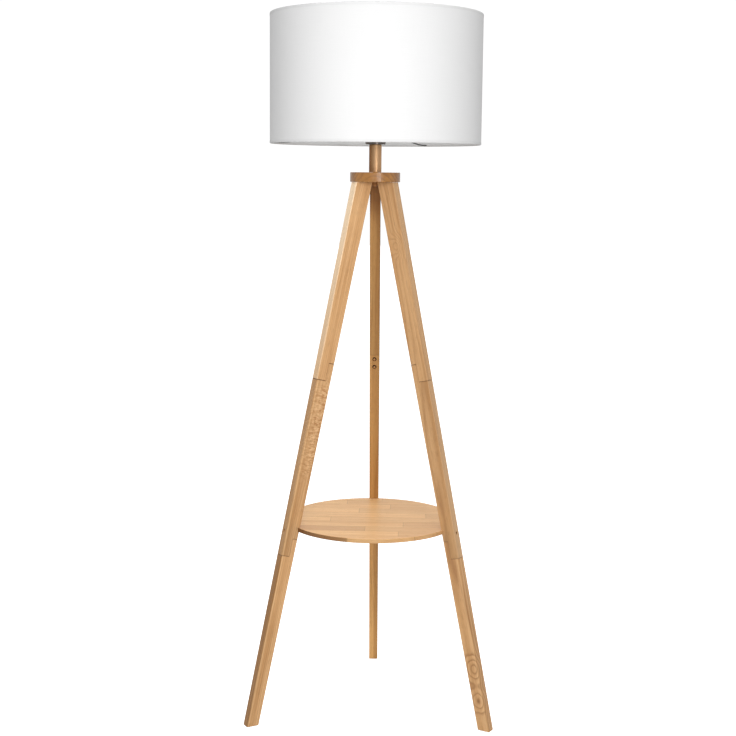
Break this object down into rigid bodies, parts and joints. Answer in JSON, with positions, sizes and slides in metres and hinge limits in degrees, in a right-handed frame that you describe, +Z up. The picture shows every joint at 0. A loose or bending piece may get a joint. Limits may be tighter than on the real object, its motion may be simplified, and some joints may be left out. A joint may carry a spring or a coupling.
{
  "type": "tripod floor lamp",
  "caption": "Tripod floor lamp: tapered wooden legs in lap-jointed sections, a round wooden shelf let into them, a wooden hub, a copper neck and a white drum shade.",
  "frame": {"origin": "at floor level, in the middle of the lamp's overall box; the lamp's own axis stands 40.2 mm in front of it, at y = -0.0402", "axes": "+Z up; +Y towards the back leg; +X to the lamp's right seen from the front"},
  "size_m": [0.538, 0.5305, 1.5145],
  "materials": {
    "leg_wood": "clear satin lacquer",
    "hub_wood": "darker satin lacquer",
    "shelf_wood": "clear satin lacquer",
    "copper": "satin copper plating",
    "leg_screw": "black",
    "zinc": "zinc plated",
    "brass": "plain",
    "holder_black": "polished",
    "porcelain": "glazed",
    "fitter_wire": "dark nickel",
    "shade_cloth": "fine woven cloth",
    "shade_liner": "matt white lining",
    "bulb_plastic": "matt",
    "bulb_globe": "frosted"
  },
  "bodies": {
    "lamp": {"leg_upper_back": "leg_wood", "leg_upper_left": "leg_wood", "leg_upper_right": "leg_wood", "leg_middle_back": "leg_wood", "leg_middle_left": "leg_wood", "leg_middle_right": "leg_wood", "leg_lower_back": "leg_wood", "leg_lower_left": "leg_wood", "leg_lower_right": "leg_wood", "lap_screw_upper_back_low": "leg_screw", "lap_screw_upper_back_high": "leg_screw", "lap_screw_upper_left_low": "leg_screw", "lap_screw_upper_left_high": "leg_screw", "lap_screw_upper_right_low": "leg_screw", "lap_screw_upper_right_high": "leg_screw", "lap_screw_lower_back_low": "leg_screw", "lap_screw_lower_back_high": "leg_screw", "lap_screw_lower_left_low": "leg_screw", "lap_screw_lower_left_high": "leg_screw", "lap_screw_lower_right_low": "leg_screw", "lap_screw_lower_right_high": "leg_screw", "shelf": "shelf_wood", "shelf_screw_back": "leg_screw", "shelf_screw_left": "leg_screw", "shelf_screw_right": "leg_screw", "hub_disc": "hub_wood", "hub_bolt_back": "zinc", "hub_bolt_left": "zinc", "hub_bolt_right": "zinc", "hub_insert_back": "brass", "hub_insert_left": "brass", "hub_insert_right": "brass", "threaded_rod": "zinc", "rod_washer": "zinc", "rod_nut": "zinc", "neck_tube": "copper", "holder_cap": "holder_black", "holder_shell": "holder_black", "holder_core": "porcelain", "screw_shell": "brass", "centre_contact": "brass", "shade_fitter": "fitter_wire", "clamp_ring": "holder_black", "shade_drum": "shade_cloth", "top_wire_ring": "fitter_wire", "bulb_base": "zinc", "bulb_body": "bulb_plastic", "bulb_globe": "bulb_globe"},
    "switch": {"switch_knob": "holder_black", "switch_shaft": "zinc"}
  },
  "joints": [
    {"name": "switch_turn", "type": "hinge", "parent": "lamp", "child": "switch", "pos_m": [0.0278, -0.0402, 1.2581], "axis": [1, 0, 0], "continuous": true}
  ]
}
